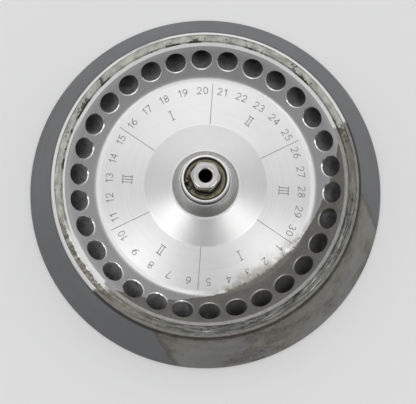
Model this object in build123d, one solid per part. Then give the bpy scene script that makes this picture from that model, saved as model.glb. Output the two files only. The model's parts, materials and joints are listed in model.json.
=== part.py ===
from build123d import *
import os
from math import cos, radians, sin, sqrt, tan

os.makedirs("parts", exist_ok=True)

# Fixed angle rotor for 30 micro test tubes. Millimetres, +Z up, origin on the axis at the base.
# Azimuth 0 is along +X and runs counter-clockwise seen from above.

# ---- what the rotor carries ----
TUBE_COUNT = 30            # places in the ring
TUBE_R = 5.4               # body radius of a 1.5 or 2 mL tube
TUBE_CLEARANCE = 0.2       # between tube and bore wall
TUBE_ANGLE = 45.0          # tube axis from vertical
TUBE_TIP_RADIUS = 95.0     # largest radius reached by a tube tip
TUBE_REACH = 37.5          # length of tube below its mouth
TUBE_STRAIGHT = 22.5       # straight part of the tube
TUBE_SHOULDER = 28.4       # depth where its cone starts, after a slight draft
TUBE_SHOULDER_R = 5.0      # radius of the tube there
TUBE_TIP_R = 2.0           # radius of the tube's closed end

# ---- rotor body ----
MOUTH_Z = 34.5             # height of the ring of bore mouths
MOUTH_BREAK = 0.45         # edge break of a bore mouth
WALL_UNDER_BORE = 5.0      # metal between a bore and the hollow underside
BASE_R = 102.4             # widest radius
BASE_BAND = 2.6            # top of the upright band at the base
BASE_EDGE = 0.8            # edge break of the base
RIM_R = 82.1               # outer radius of the rim
RIM_Z = 41.6               # top of the rim seat
RIM_CHAMFER = 1.6          # bright outer chamfer of the rim
RIM_BAND = 2.6             # upright face of the rim lip below its chamfer
LIP_UNDERCUT = 0.7         # relief under the rim lip
LAND_IN_R = 74.4           # inner edge of the rim
LAND_W = 1.6               # ridge at the inner edge of the rim
LAND_RISE = 1.0            # rise across that ridge
GROOVE_W = 0.9             # drain groove outside the ridge
GROOVE_D = 0.6             # its depth under the seat
DISC_Z = 26.5              # numbered disc inside the ring of bores
DISC_FILLET = 5.0          # hollow between disc and bore cone
INNER_R = 34.0             # where the disc starts to rise to the hub
WEB_T = 8.5                # web thickness under the disc
WEB_FILLET = 6.0           # hollow between web and underside cone
BOSS_R = 24.0              # boss under the web
BOSS_Z = 6.0               # its lower face
BOSS_BREAK = 1.0           # edge break of the boss

# ---- hub sleeve ----
SEAT_R = 15.0              # hub seat in the body
FLANGE_R = 18.2            # hub flange on the body
FLANGE_Z = 29.2            # seating face of that flange
FLANGE_T = 1.6             # flange edge height
STEP_R = 14.0              # shoulder over the hollow flank
STEP_Z = 46.5              # height of that shoulder
STEP_T = 0.8               # upright edge of the shoulder
FLANK_SAG = 0.9            # how far the flank is hollowed
COLLAR_R = 12.6            # collar that carries the lid thread
HUB_TOP = 53.4             # top of the hub
COLLAR_ROOT_R = 12.2       # thread relief above the shoulder
COLLAR_RELIEF = 1.4        # height of that relief
HUB_EDGE = 0.5             # edge break of the hub top
SHAFT_R = 9.0              # drive shaft bore
SHAFT_TOP = 36.0           # blind end of the shaft bore
SHAFT_BREAK = 1.0          # lead-in of the shaft bore
DRIVE_SLOT_W = 4.0         # cross slot for the shaft's driver
DRIVE_SLOT_D = 3.0
RECESS_R = 10.9            # recess for the nut
RECESS_Z = 43.5            # floor of the recess

# ---- captive nut, its washer and its retaining ring ----
STEM_R = 5.6               # nut stem
STEM_CLEARANCE = 0.4       # between stem and hub
STEM_END = 37.0            # lower end of the stem
SEATED_GAP = 0.05          # between faces that rest on each other but turn
WASHER_T = 1.2
WASHER_CLEARANCE = 0.5     # to the stem and to the recess wall
NUT_FLANGE_T = 3.6
NUT_FLANGE_CLEARANCE = 1.0 # to the recess wall
NUT_FLOAT = 0.8            # axial play under the retaining ring
NUT_AF = 14.0              # hexagon across flats
NUT_CORNER_R = 7.6         # hexagon corners turned down to this radius
NUT_TOP = 63.1
NUT_CHAMFER = 0.8
NUT_BORE_R = 3.4           # core of an 8 mm thread
NUT_PHASE = 28.0           # azimuth of the middle of one flat
RING_T = 1.2               # retaining ring thickness
RING_IN_R = 8.3
RING_GROOVE = 0.6          # depth of its groove in the hub
RING_CLEARANCE = 0.1       # between ring and groove
RING_GAP_AZ = 200.0        # where the ring is open
RING_GAP = 2.6             # opening between its ends
LUG_R = 1.25               # plier lugs
LUG_HOLE_R = 0.55

# ---- derived ----
BORE_R = TUBE_R + TUBE_CLEARANCE
PITCH = 360.0 / TUBE_COUNT
TILT = radians(TUBE_ANGLE)
MOUTH_R = TUBE_TIP_RADIUS - TUBE_REACH * sin(TILT)
CONE_SLOPE = tan(TILT)                      # rise of the bore cone per unit of radius
RING_Z = RECESS_Z + 2 * SEATED_GAP + WASHER_T + NUT_FLANGE_T + NUT_FLOAT
NUT_SEAT_Z = RECESS_Z + 2 * SEATED_GAP + WASHER_T
FLANGE_TOP = NUT_SEAT_Z + NUT_FLANGE_T
CUT = 1.0                                   # how far cutters overshoot


def lathe(points):
    """Solid of revolution about Z from (radius, height) corners."""
    with BuildPart() as turned:
        with BuildSketch(Plane.XZ):
            with BuildLine():
                Polyline(*points, close=True)
            make_face()
        revolve(axis=Axis.Z)
    return turned.part


def cone_at(radius):
    """Height of the bore cone at a radius."""
    return MOUTH_Z + (radius - MOUTH_R) * CONE_SLOPE


def bore_cutter():
    """One tube bore along +Z pointing into the metal, its mouth at Z = 0."""
    mouth_r = BORE_R + MOUTH_BREAK
    return lathe([
        (0, -3 * CUT),
        (mouth_r + 3 * CUT, -3 * CUT),
        (BORE_R, MOUTH_BREAK),
        (BORE_R, TUBE_STRAIGHT),
        (TUBE_SHOULDER_R + TUBE_CLEARANCE, TUBE_SHOULDER),
        (TUBE_TIP_R, TUBE_REACH - TUBE_TIP_R / 2),
        (TUBE_TIP_R / 2, TUBE_REACH),
        (0, TUBE_REACH),
    ])


def rotor_body():
    lip_z = RIM_Z - RIM_CHAMFER
    wall_top = lip_z - RIM_BAND - LIP_UNDERCUT
    web_z = DISC_Z - WEB_T
    # The hollow underside runs parallel to the bores.
    lower_side = MOUTH_R * CONE_SLOPE + MOUTH_Z - (BORE_R + WALL_UNDER_BORE) / cos(TILT)
    foot_r = lower_side / CONE_SLOPE
    web_r = (lower_side - web_z) / CONE_SLOPE
    disc_corner = MOUTH_R - (MOUTH_Z - DISC_Z) / CONE_SLOPE
    wall_slope = (BASE_R - RIM_R) / (lip_z - BASE_BAND)
    groove_in = LAND_IN_R + LAND_W
    rise_z = cone_at(LAND_IN_R) + LAND_RISE
    with BuildPart() as body:
        with BuildSketch(Plane.XZ):
            with BuildLine():
                Polyline(
                    (SEAT_R, BOSS_Z),
                    (BOSS_R - BOSS_BREAK, BOSS_Z),
                    (BOSS_R, BOSS_Z + BOSS_BREAK),
                    (BOSS_R, web_z),
                    (web_r, web_z),
                    (foot_r, 0),
                    (BASE_R - BASE_EDGE, 0),
                    (BASE_R, BASE_EDGE),
                    (BASE_R, BASE_BAND),
                    (RIM_R + (lip_z - wall_top) * wall_slope, wall_top),
                    (RIM_R - LIP_UNDERCUT, lip_z - RIM_BAND),
                    (RIM_R, lip_z - RIM_BAND + LIP_UNDERCUT / 2),
                    (RIM_R, lip_z),
                    (RIM_R - RIM_CHAMFER, RIM_Z),
                    (groove_in + GROOVE_W, RIM_Z),
                    (groove_in + GROOVE_W * 0.8, RIM_Z - GROOVE_D),
                    (groove_in, RIM_Z - GROOVE_D),
                    (groove_in, rise_z),
                    (LAND_IN_R, cone_at(LAND_IN_R)),
                    (disc_corner, DISC_Z),
                    (INNER_R, DISC_Z),
                    (FLANGE_R + CUT, FLANGE_Z),
                    (SEAT_R, FLANGE_Z),
                    close=True,
                )
            make_face()
        revolve(axis=Axis.Z)
        hollows = body.edges().filter_by(GeomType.CIRCLE)
        disc_edge = min(hollows, key=lambda e: abs(e.radius - disc_corner)
                        + abs(e.arc_center.Z - DISC_Z))
        web_edges = [min(hollows, key=lambda e: abs(e.radius - r) + abs(e.arc_center.Z - web_z))
                     for r in (BOSS_R, web_r)]
        fillet(disc_edge, DISC_FILLET)
        fillet(web_edges[1], WEB_FILLET)
        hollows = body.edges().filter_by(GeomType.CIRCLE)
        boss_edge = min(hollows, key=lambda e: abs(e.radius - BOSS_R) + abs(e.arc_center.Z - web_z))
        fillet(boss_edge, WEB_FILLET / 2)
    cutter = bore_cutter()
    bores = []
    for k in range(TUBE_COUNT):
        a = radians(PITCH * k)
        inward = (cos(a) * sin(TILT), sin(a) * sin(TILT), -cos(TILT))
        mouth = (MOUTH_R * cos(a), MOUTH_R * sin(a), MOUTH_Z)
        bores.append(Plane(origin=mouth, z_dir=inward) * cutter)
    return body.part - bores


def hub_sleeve():
    groove_r = RECESS_R + RING_GROOVE
    flank_top = (STEP_R, STEP_Z - STEP_T)
    flank_foot = (FLANGE_R, FLANGE_Z + FLANGE_T)
    flank_mid = ((flank_top[0] + flank_foot[0]) / 2 - FLANK_SAG,
                 (flank_top[1] + flank_foot[1]) / 2 - FLANK_SAG / 2)
    with BuildPart() as hub:
        with BuildSketch(Plane.XZ):
            with BuildLine():
                Polyline(
                    flank_foot,
                    (FLANGE_R, FLANGE_Z),
                    (SEAT_R, FLANGE_Z),
                    (SEAT_R, BOSS_Z),
                    (SHAFT_R + SHAFT_BREAK, BOSS_Z),
                    (SHAFT_R, BOSS_Z + SHAFT_BREAK),
                    (SHAFT_R, SHAFT_TOP),
                    (STEM_R + STEM_CLEARANCE, SHAFT_TOP),
                    (STEM_R + STEM_CLEARANCE, RECESS_Z),
                    (RECESS_R, RECESS_Z),
                    (RECESS_R, RING_Z - RING_CLEARANCE),
                    (groove_r, RING_Z - RING_CLEARANCE),
                    (groove_r, RING_Z + RING_T + RING_CLEARANCE),
                    (RECESS_R, RING_Z + RING_T + RING_CLEARANCE),
                    (RECESS_R, HUB_TOP - HUB_EDGE),
                    (RECESS_R + HUB_EDGE, HUB_TOP),
                    (COLLAR_R - HUB_EDGE, HUB_TOP),
                    (COLLAR_R, HUB_TOP - HUB_EDGE),
                    (COLLAR_R, STEP_Z + COLLAR_RELIEF),
                    (COLLAR_ROOT_R, STEP_Z + COLLAR_RELIEF / 2),
                    (COLLAR_ROOT_R, STEP_Z),
                    (STEP_R - STEP_T / 2, STEP_Z),
                    (STEP_R, STEP_Z - STEP_T / 2),
                    flank_top,
                )
                ThreePointArc(flank_top, flank_mid, flank_foot)
            make_face()
        revolve(axis=Axis.Z)
        with Locations((0, 0, BOSS_Z + DRIVE_SLOT_D / 2 - CUT / 2)):
            Box(2 * (SEAT_R - CUT), DRIVE_SLOT_W, DRIVE_SLOT_D + CUT, mode=Mode.SUBTRACT)
    return hub.part


def nut_washer():
    return lathe([
        (STEM_R + WASHER_CLEARANCE, RECESS_Z + SEATED_GAP),
        (RECESS_R - WASHER_CLEARANCE, RECESS_Z + SEATED_GAP),
        (RECESS_R - WASHER_CLEARANCE, RECESS_Z + SEATED_GAP + WASHER_T),
        (STEM_R + WASHER_CLEARANCE, RECESS_Z + SEATED_GAP + WASHER_T),
    ])


def rotor_nut():
    flange_r = RECESS_R - NUT_FLANGE_CLEARANCE
    turned = lathe([
        (NUT_BORE_R, STEM_END),
        (STEM_R - NUT_CHAMFER, STEM_END),
        (STEM_R, STEM_END + NUT_CHAMFER),
        (STEM_R, NUT_SEAT_Z),
        (flange_r, NUT_SEAT_Z),
        (flange_r, FLANGE_TOP),
        (NUT_CORNER_R, FLANGE_TOP),
        (NUT_CORNER_R, NUT_TOP - NUT_CHAMFER),
        (NUT_CORNER_R - 2 * NUT_CHAMFER, NUT_TOP),
        (NUT_BORE_R + NUT_CHAMFER / 2, NUT_TOP),
        (NUT_BORE_R, NUT_TOP - NUT_CHAMFER / 2),
    ])
    hexagon = extrude(
        Plane.XY.offset(FLANGE_TOP)
        * Rot(0, 0, NUT_PHASE)
        * RegularPolygon(NUT_AF / 2, 6, major_radius=False, rotation=30),
        NUT_TOP - FLANGE_TOP + CUT,
    )
    shank = Pos(0, 0, (STEM_END + FLANGE_TOP) / 2) * Cylinder(flange_r, FLANGE_TOP - STEM_END)
    return turned & (hexagon + shank)


def nut_retaining_ring():
    ring_r = RECESS_R + RING_GROOVE - RING_CLEARANCE
    ring = lathe([
        (RING_IN_R, RING_Z), (ring_r, RING_Z), (ring_r, RING_Z + RING_T), (RING_IN_R, RING_Z + RING_T),
    ])
    mid_z = RING_Z + RING_T / 2
    gap = Rot(0, 0, RING_GAP_AZ) * Pos(ring_r / 2 + CUT, 0, mid_z) * Box(ring_r, RING_GAP, 2 * RING_T)
    # The two ends each carry a hole for ring pliers.
    hole_az = (RING_GAP / 2 + LUG_R) / RING_IN_R
    holes = [
        Rot(0, 0, RING_GAP_AZ + side * hole_az * 180 / 3.14159265)
        * Pos(RING_IN_R + LUG_R, 0, mid_z) * Cylinder(LUG_HOLE_R, 2 * RING_T)
        for side in (-1, 1)
    ]
    return ring - gap - holes


NODES = {
    "rotor_body": rotor_body,
    "hub_sleeve": hub_sleeve,
    "nut_washer": nut_washer,
    "rotor_nut": rotor_nut,
    "nut_retaining_ring": nut_retaining_ring,
}

for name, make in NODES.items():
    shape = make()
    solids = shape.solids()
    assert len(solids) == 1 and solids[0].is_valid, name
    export_step(solids[0], f"parts/{name}.step")
    box = solids[0].bounding_box()
    print(name, round(solids[0].volume), [round(v, 2) for v in (*box.min, *box.max)])
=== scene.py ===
"""Fixed angle rotor: its finished surfaces, numbers, lamps and camera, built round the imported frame."""

import json
import math

import bmesh
import bpy
import numpy as np
from bpy.props import FloatProperty, FloatVectorProperty, IntProperty, PointerProperty
from mathutils import Matrix, Vector


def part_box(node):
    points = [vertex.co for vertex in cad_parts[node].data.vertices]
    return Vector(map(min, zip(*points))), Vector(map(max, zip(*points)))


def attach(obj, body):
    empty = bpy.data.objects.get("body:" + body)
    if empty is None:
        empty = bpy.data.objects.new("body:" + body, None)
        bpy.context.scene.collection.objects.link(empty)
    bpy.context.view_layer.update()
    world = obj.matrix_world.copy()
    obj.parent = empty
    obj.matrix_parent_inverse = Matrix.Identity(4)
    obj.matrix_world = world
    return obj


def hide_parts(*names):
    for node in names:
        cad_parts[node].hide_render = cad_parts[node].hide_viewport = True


bl_info = {
    "name": "Fixed angle rotor",
    "version": (1, 0, 0),
    "blender": (4, 5, 0),
    "location": "View3D > Sidebar > Rotor",
    "description": "Builds the finished surfaces of a fixed angle centrifuge rotor",
    "category": "Object",
}

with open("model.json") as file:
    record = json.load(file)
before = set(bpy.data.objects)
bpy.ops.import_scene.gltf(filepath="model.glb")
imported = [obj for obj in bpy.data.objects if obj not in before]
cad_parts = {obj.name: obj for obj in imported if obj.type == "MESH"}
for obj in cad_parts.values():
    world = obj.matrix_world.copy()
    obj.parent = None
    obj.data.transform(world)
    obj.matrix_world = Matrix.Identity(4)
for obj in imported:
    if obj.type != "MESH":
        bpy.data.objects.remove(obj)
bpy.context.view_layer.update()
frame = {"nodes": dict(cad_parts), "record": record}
MM = 0.001

BODY_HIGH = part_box("rotor_body")[1]
BORES = [m for m in frame["record"]["mounts"] if m["name"].startswith("tube_bore")]
EDGE_BREAK = 0.45  # mm, the broken edge at each bore's mouth


def mouth_of(mount):
    """Where a bore's axis meets the bore cone: half the wall and the edge break up along the axis."""
    rise = (mount["dims"]["length_mm"] / 2 + EDGE_BREAK) * MM
    return np.array(mount["pos_m"]) + np.array(mount["axis"]) * rise


MOUTH = mouth_of(BORES[0])


# ---------------------------------------------------------------- sizes and colours

class RotorSizes(bpy.types.PropertyGroup):
    """Sizes of the rotor's finished surfaces."""
    base_radius: FloatProperty(
        name="Base radius", description="Widest radius, at the band above the base land",
        default=BODY_HIGH.x, unit="LENGTH")
    rim_radius: FloatProperty(
        name="Rim radius", description="Outer radius of the rim", default=82.1 * MM, unit="LENGTH")
    rim_height: FloatProperty(
        name="Rim height", description="Height of the rim's seal seat", default=BODY_HIGH.z, unit="LENGTH")
    mouth_radius: FloatProperty(
        name="Mouth circle", description="Radius of the circle that the bore mouths lie on",
        default=float(np.hypot(MOUTH[0], MOUTH[1])), unit="LENGTH")
    mouth_height: FloatProperty(
        name="Mouth height", description="Height of the bore mouths", default=float(MOUTH[2]), unit="LENGTH")
    bore_radius: FloatProperty(
        name="Bore radius", description="Radius of a tube bore",
        default=BORES[0]["dims"]["r_mm"] * MM, unit="LENGTH")
    disc_height: FloatProperty(
        name="Disc height", description="Height of the numbered disc", default=26.5 * MM, unit="LENGTH")
    digit_height: FloatProperty(
        name="Digit height", description="Height of the place numbers", default=3.7 * MM, unit="LENGTH")
    stroke_width: FloatProperty(
        name="Stroke width", description="Width of a stroke of the numbers", default=0.42 * MM, unit="LENGTH")
    places: IntProperty(
        name="Places", description="Number of tube bores", default=len(BORES), min=6)
    nut_turn: FloatProperty(
        name="Nut turn", description="Direction of the middle of one flat of the nut",
        default=math.radians(28), subtype="ANGLE")


class RotorColours(bpy.types.PropertyGroup):
    """Colours of the rotor's finishes, as linear values."""
    wall: FloatVectorProperty(
        name="Outer wall", description="Satin grey of the outer cone", size=3, subtype="COLOR",
        default=(0.128, 0.131, 0.138), min=0, max=1)
    cone: FloatVectorProperty(
        name="Bore cone", description="Turned aluminium round the bores", size=3, subtype="COLOR",
        default=(0.50, 0.50, 0.51), min=0, max=1)
    disc: FloatVectorProperty(
        name="Disc", description="Bright turned aluminium of the disc", size=3, subtype="COLOR",
        default=(0.70, 0.70, 0.695), min=0, max=1)
    seat: FloatVectorProperty(
        name="Seal seat", description="Dull, greenish seat on the rim", size=3, subtype="COLOR",
        default=(0.46, 0.46, 0.415), min=0, max=1)
    steel: FloatVectorProperty(
        name="Hub steel", description="Turned steel of the hub", size=3, subtype="COLOR",
        default=(0.68, 0.67, 0.645), min=0, max=1)
    film: FloatVectorProperty(
        name="Dried film", description="Olive grey film on one side", size=3, subtype="COLOR",
        default=(0.112, 0.106, 0.090), min=0, max=1)
    ink: FloatVectorProperty(
        name="Strokes", description="Dull grey of the numbers and lines", size=3, subtype="COLOR",
        default=(0.34, 0.33, 0.32), min=0, max=1)
    floor: FloatVectorProperty(
        name="Floor", description="Pale floor", size=3, subtype="COLOR",
        default=(0.78, 0.78, 0.78), min=0, max=1)


# ---------------------------------------------------------------- meshes

def ring_faces(rows, columns, closed=False):
    """Quads of a grid of rows by columns, corners column first. If closed, the last row joins the first."""
    i = np.arange(rows if closed else rows - 1)[:, None]
    j = np.arange(columns - 1)[None, :]
    n = (i + 1) % rows
    here, after = i * columns + j, n * columns + j
    return np.stack([here, after, after + 1, here + 1], -1).reshape(-1, 4)


def make_piece(name, parts, materials, body, merge=1e-6):
    """One mesh from (points, quads, material number) parts, with doubles merged and every face smooth."""
    points, quads, numbers, start = [], [], [], 0
    for co, face, number in parts:
        co = np.asarray(co, float).reshape(-1, 3)
        points.append(co)
        quads.append(np.asarray(face) + start)
        numbers.append(np.full(len(face), number, np.int32) if np.isscalar(number) else number)
        start += len(co)
    points, quads, numbers = np.concatenate(points), np.concatenate(quads), np.concatenate(numbers)
    mesh = bpy.data.meshes.new(name)
    mesh.from_pydata(points.tolist(), [], quads.tolist())
    for material in materials:
        mesh.materials.append(material)
    mesh.polygons.foreach_set("material_index", numbers.astype(np.int32))
    mesh.polygons.foreach_set("use_smooth", np.ones(len(quads), bool))
    if merge:
        bm = bmesh.new()
        bm.from_mesh(mesh)
        bmesh.ops.remove_doubles(bm, verts=bm.verts, dist=merge)
        bm.to_mesh(mesh)
        bm.free()
    mesh.update()
    piece = bpy.data.objects.new(name, mesh)
    bpy.context.scene.collection.objects.link(piece)
    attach(piece, body)
    return piece


def eased(corners, steps=4, lead=0.06):
    """An open section with each corner (radius, height, ease) turned into a short parabola between two
    tangent points. The two end corners stay as they are.

    A tangent point lies the corner's ease away along each side, at most 42% of it. A point is the parabola
    (1-s)^2 A + 2s(1-s) B + s^2 C for s from 0 to 1, and one more point a little further along each side keeps
    the flat faces flat. Returns the points and the number of the side that each one starts.
    """
    c = np.asarray(corners, float)
    p, ease = c[:, :2], c[:, 2:3]
    before, after = np.roll(p, 1, 0) - p, np.roll(p, -1, 0) - p
    lb = np.linalg.norm(before, axis=1, keepdims=True)
    la = np.linalg.norm(after, axis=1, keepdims=True)
    tb, ta = np.minimum(ease, 0.42 * lb), np.minimum(ease, 0.42 * la)
    a, b = p + before / lb * tb, p + after / la * ta
    s = np.linspace(0, 1, steps + 1)[None, :, None]
    curve = (1 - s) ** 2 * a[:, None] + 2 * s * (1 - s) * p[:, None] + s ** 2 * b[:, None]
    first = p + before / lb * np.minimum(tb + lead, 0.46 * lb)
    last = p + after / la * np.minimum(ta + lead, 0.46 * la)
    points = np.concatenate([first[:, None], curve, last[:, None]], 1)
    side = np.repeat(np.arange(len(p))[:, None], steps + 3, 1)
    side[:, :steps // 2 + 1] -= 1
    points = np.concatenate([p[:1], points[1:-1].reshape(-1, 2), p[-1:]])
    side = np.concatenate([[0], side[1:-1].reshape(-1), [len(p) - 2]])
    return points, side


def lathe(section, count):
    """A section of (radius, height) in mm carried round the axis: (r cos a, r sin a, z) over a full turn."""
    a = np.arange(count) * 2 * math.pi / count
    r, z = section[None, :, 0], section[None, :, 1]
    z = np.broadcast_to(z, (count, len(section)))
    return np.stack([r * np.cos(a)[:, None], r * np.sin(a)[:, None], z], -1) * MM


# ---------------------------------------------------------------- shapes of the body

def in_mm(value):
    return value / MM


def cone_height(s, radius):
    """The bore cone rises one for one: mouth height plus radius less mouth radius."""
    return in_mm(s.mouth_height) + radius - in_mm(s.mouth_radius)


CONE_TOP, CONE_FOOT = 73.9, 62.2  # mm, the radii between which the bore cone carries the mouths
AROUND = 12  # columns of the shell in each place's share of the ring, and points along each side of its patch
WALL, BARE, SEAT, CONE, BORE, DISC, UNDER, EDGE = range(8)


def body_section(s):
    """The body's half section from the top of the bore cone, out over the rim, down the wall, in under the
    web, up the hub seat and out over the disc to the foot of the cone, as corners (radius, height, ease)."""
    base, rim, top, disc = (in_mm(v) for v in (s.base_radius, s.rim_radius, s.rim_height, s.disc_height))
    fillet_corner = in_mm(s.mouth_radius) - (in_mm(s.mouth_height) - disc)
    corners = [
        (CONE_TOP, cone_height(s, CONE_TOP), 0),
        (74.4, cone_height(s, 74.4), 0.12),
        (76.0, top - 0.18, 0.12),
        (76.0, top - 0.6, 0.1),
        (76.72, top - 0.6, 0.1),
        (76.9, top, 0.15),
        (rim - 1.6, top, 0.2),
        (rim, top - 1.6, 0.2),
        (rim, top - 3.85, 0.15),
        (rim - 0.7, top - 4.2, 0.1),
        (rim + 1.78, top - 4.9, 0.12),
        (base, 2.6, 0.5),
        (base, 0.8, 0.3),
        (base - 0.8, 0, 0.3),
        (88.0, 0, 0.4),
        (70.0, 18.0, 2.5),
        (24.0, 18.0, 3.0),
        (24.0, 7.0, 0.3),
        (23.0, 6.0, 0.3),
        (15.0, 6.0, 0.2),
        (15.0, 29.2, 0.2),
        (19.2, 29.2, 0.3),
        (34.0, disc, 0.5),
        (fillet_corner, disc, 2.05),
        (CONE_FOOT, cone_height(s, CONE_FOOT), 0),
    ]
    zones = np.array([CONE, BARE, SEAT, SEAT, SEAT, SEAT, BARE, WALL, WALL, WALL, WALL, WALL, WALL, UNDER,
                      UNDER, UNDER, UNDER, UNDER, UNDER, UNDER, DISC, DISC, DISC, CONE])
    points, side = eased(corners)
    return points, zones[side[:-1]]


def mouth_frames(s):
    """Each place's mouth centre and its three directions: along the ring, up the cone, and into the metal."""
    a = np.arange(s.places) * 2 * math.pi / s.places
    zero, half = np.zeros_like(a), math.sqrt(0.5)
    along = np.stack([-np.sin(a), np.cos(a), zero], -1)
    up = np.stack([np.cos(a) * half, np.sin(a) * half, zero + half], -1)
    into = np.stack([np.cos(a) * half, np.sin(a) * half, zero - half], -1)
    centre = np.stack([np.cos(a) * in_mm(s.mouth_radius), np.sin(a) * in_mm(s.mouth_radius),
                       zero + in_mm(s.mouth_height)], -1)
    return a, centre, along, up, into


def mouth_edge(s, beta):
    """Radius and depth of the edge where a bore's broken edge meets the cone.

    A circle of radius p round the bore's axis meets the cone at depth
    -p^2 cos^2(b) / (2 sqrt2 (R + p sin(b)/sqrt2)), and the broken edge has p equal to its radius at depth 0
    less the depth.
    """
    p = np.full_like(beta, in_mm(s.bore_radius) + EDGE_BREAK)
    for _ in range(3):
        depth = -(p * np.cos(beta)) ** 2 / (
            2 * math.sqrt(2) * (in_mm(s.mouth_radius) + p * np.sin(beta) / math.sqrt(2)))
        p = in_mm(s.bore_radius) + EDGE_BREAK - depth
    return p, depth


def mouth_patches(s, around=AROUND):
    """The bore cone between the mouths: for each place a four-sided patch with a round hole.

    A point is (1-t) of the hole's edge plus t of the patch's border, both (angle, radius), laid on the cone.
    """
    n = 4 * around
    step = 2 * math.pi / s.places
    beta = math.radians(225) + np.arange(n) * 2 * math.pi / n
    p, depth = mouth_edge(s, beta)
    a, centre, along, up, into = mouth_frames(s)
    edge = (centre[0] + p[:, None] * (np.cos(beta)[:, None] * along[0] + np.sin(beta)[:, None] * up[0])
            + depth[:, None] * into[0])
    hole = np.stack([np.arctan2(edge[:, 1], edge[:, 0]), np.hypot(edge[:, 0], edge[:, 1])], -1)
    q = np.arange(around) / around
    low, high = CONE_FOOT, CONE_TOP
    border = np.concatenate([
        np.stack([(q - 0.5) * step, low + 0 * q], -1),
        np.stack([0.5 * step + 0 * q, low + q * (high - low)], -1),
        np.stack([(0.5 - q) * step, high + 0 * q], -1),
        np.stack([-0.5 * step + 0 * q, high - q * (high - low)], -1)])
    t = np.array([0, 0.015, 0.08, 0.25, 0.5, 0.75, 1.0])[None, :, None]
    flat = (1 - t) * hole[:, None] + t * border[:, None]
    angle = flat[None, ..., 0] + a[:, None, None]
    radius = np.broadcast_to(flat[None, ..., 1], angle.shape)
    co = np.stack([radius * np.cos(angle), radius * np.sin(angle), cone_height(s, radius)], -1) * MM
    faces = ring_faces(n, t.shape[1], closed=True)
    return co, repeated(faces, n * t.shape[1], s.places)


def repeated(faces, stride, times):
    """The same faces once for each copy, each copy's points a stride further on."""
    return (faces[None] + (np.arange(times) * stride)[:, None, None]).reshape(-1, faces.shape[1])


def tube_bores(s, around=AROUND):
    """The bores: circles of radius p at depth w along each axis, C + p (cos b A + sin b U) + w D.

    The broken edge runs from the cone to the straight wall. Below that come a slight draft and a taper.
    """
    n = 4 * around
    bore = in_mm(s.bore_radius)
    beta = math.radians(225) + np.arange(n) * 2 * math.pi / n
    w0 = mouth_edge(s, beta)[1]
    q = np.array([0, 0.12, 0.5, 0.88])[:, None]
    w_edge = (1 - q) * w0 + q * EDGE_BREAK
    p_edge = bore + EDGE_BREAK - w_edge
    depth = np.array([0.47, 0.6, 1.2, 5, 12, 22.3, 22.8, 28.1, 28.4, 28.7,
                      36.3, 36.5, 37.0, 37.4, 37.5, 37.5])
    wide = np.array([bore + .01] + [bore] * 5 + [bore - .02, 5.22, 5.18, 5.08,
                                                2.08, 1.98, 1.5, 1.1, 0.8, 0])
    p = np.concatenate([p_edge, np.broadcast_to(wide[:, None], (len(wide), n))]).T
    w = np.concatenate([w_edge, np.broadcast_to(depth[:, None], (len(depth), n))]).T
    _, centre, along, up, into = mouth_frames(s)
    co = (centre[:, None, None] + (p * np.cos(beta)[:, None])[None, ..., None] * along[:, None, None]
          + (p * np.sin(beta)[:, None])[None, ..., None] * up[:, None, None]
          + w[None, ..., None] * into[:, None, None]) * MM
    rings = p.shape[1]
    faces = ring_faces(n, rings, closed=True)
    number = np.where(np.tile(np.arange(rings - 1) < len(q), n), EDGE, BORE)
    return co, repeated(faces, n * rings, s.places), np.tile(number, s.places)


# ---------------------------------------------------------------- shape of the nut

def nut_surface(turn, columns=288):
    """The nut as radii over (angle, height): a flange and stem turned round, and a head cut to a hexagon.

    The head's radius is the least of the flat, af/2 over the cosine of the angle from the flat's middle, the
    turned corner, and the chamfer cone that falls away from the top.
    """
    rows = [
        (3.4, 37.0, 0), (4.9, 37.0, 0), (5.6, 37.8, 0), (5.6, 44.7, 0), (5.65, 44.75, 0), (9.7, 44.75, 0),
        (9.9, 44.95, 0), (9.9, 48.2, 0), (9.7, 48.4, 0), (7.75, 48.4, 0), (7.6, 48.45, 1), (7.6, 48.6, 1),
        (7.6, 52.0, 1), (7.6, 56.0, 1), (7.6, 60.0, 1), (7.6, 61.6, 1), (7.6, 62.0, 1), (7.6, 62.2, 1),
        (7.6, 62.4, 1), (7.3, 62.6, 1), (6.9, 62.82, 1), (6.55, 62.98, 1), (6.3, 63.06, 0), (6.1, 63.1, 0),
        (5.9, 63.1, 0), (4.1, 63.1, 0), (3.9, 63.08, 0), (3.65, 62.95, 0), (3.45, 62.7, 0), (3.4, 62.5, 0),
        (3.4, 50.0, 0), (3.4, 37.0, 0),
    ]
    rows = np.array(rows)
    # The bore's rows, which take the nut's painted shade finish.
    shaded_bore = (rows[:-1, 0] < 3.5) & (rows[1:, 0] < 3.5)
    a = np.arange(columns) * 2 * math.pi / columns
    from_flat = (a - turn + math.pi / 6) % (math.pi / 3) - math.pi / 6
    flat = 7.0 / np.cos(from_flat)
    # The flats' vertical edges are eased by a soft minimum of flat and turned corner.
    soft = -0.05 * np.log(np.exp(-(flat - 7) / 0.05) + np.exp(-(7.6 - 7) / 0.05)) + 7
    head = np.minimum(soft[:, None], rows[None, :, 0] + (rows[None, :, 1] < 61.7) * 1.0)
    radius = np.where(rows[None, :, 2] > 0, head, rows[None, :, 0])
    z = np.broadcast_to(rows[None, :, 1], radius.shape)
    co = np.stack([radius * np.cos(a)[:, None], radius * np.sin(a)[:, None], z], -1) * MM
    return co, ring_faces(columns, len(rows), closed=True), np.tile(shaded_bore.astype(int), columns)


# ---------------------------------------------------------------- numbers and lines

NUMBERS_AT, MARKS_AT = 53.3, 43.3  # mm, the radii on which the place numbers and the sector marks are centred
LINES_FROM, LINES_LONG = 34.2, 23.2  # mm, where the sector lines start and how far they run outward
ZERO_RAY = math.radians(336)  # the ray from which the places are counted, clockwise from above


def place_ray(place, places):
    return ZERO_RAY - place * 2 * math.pi / places


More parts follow.
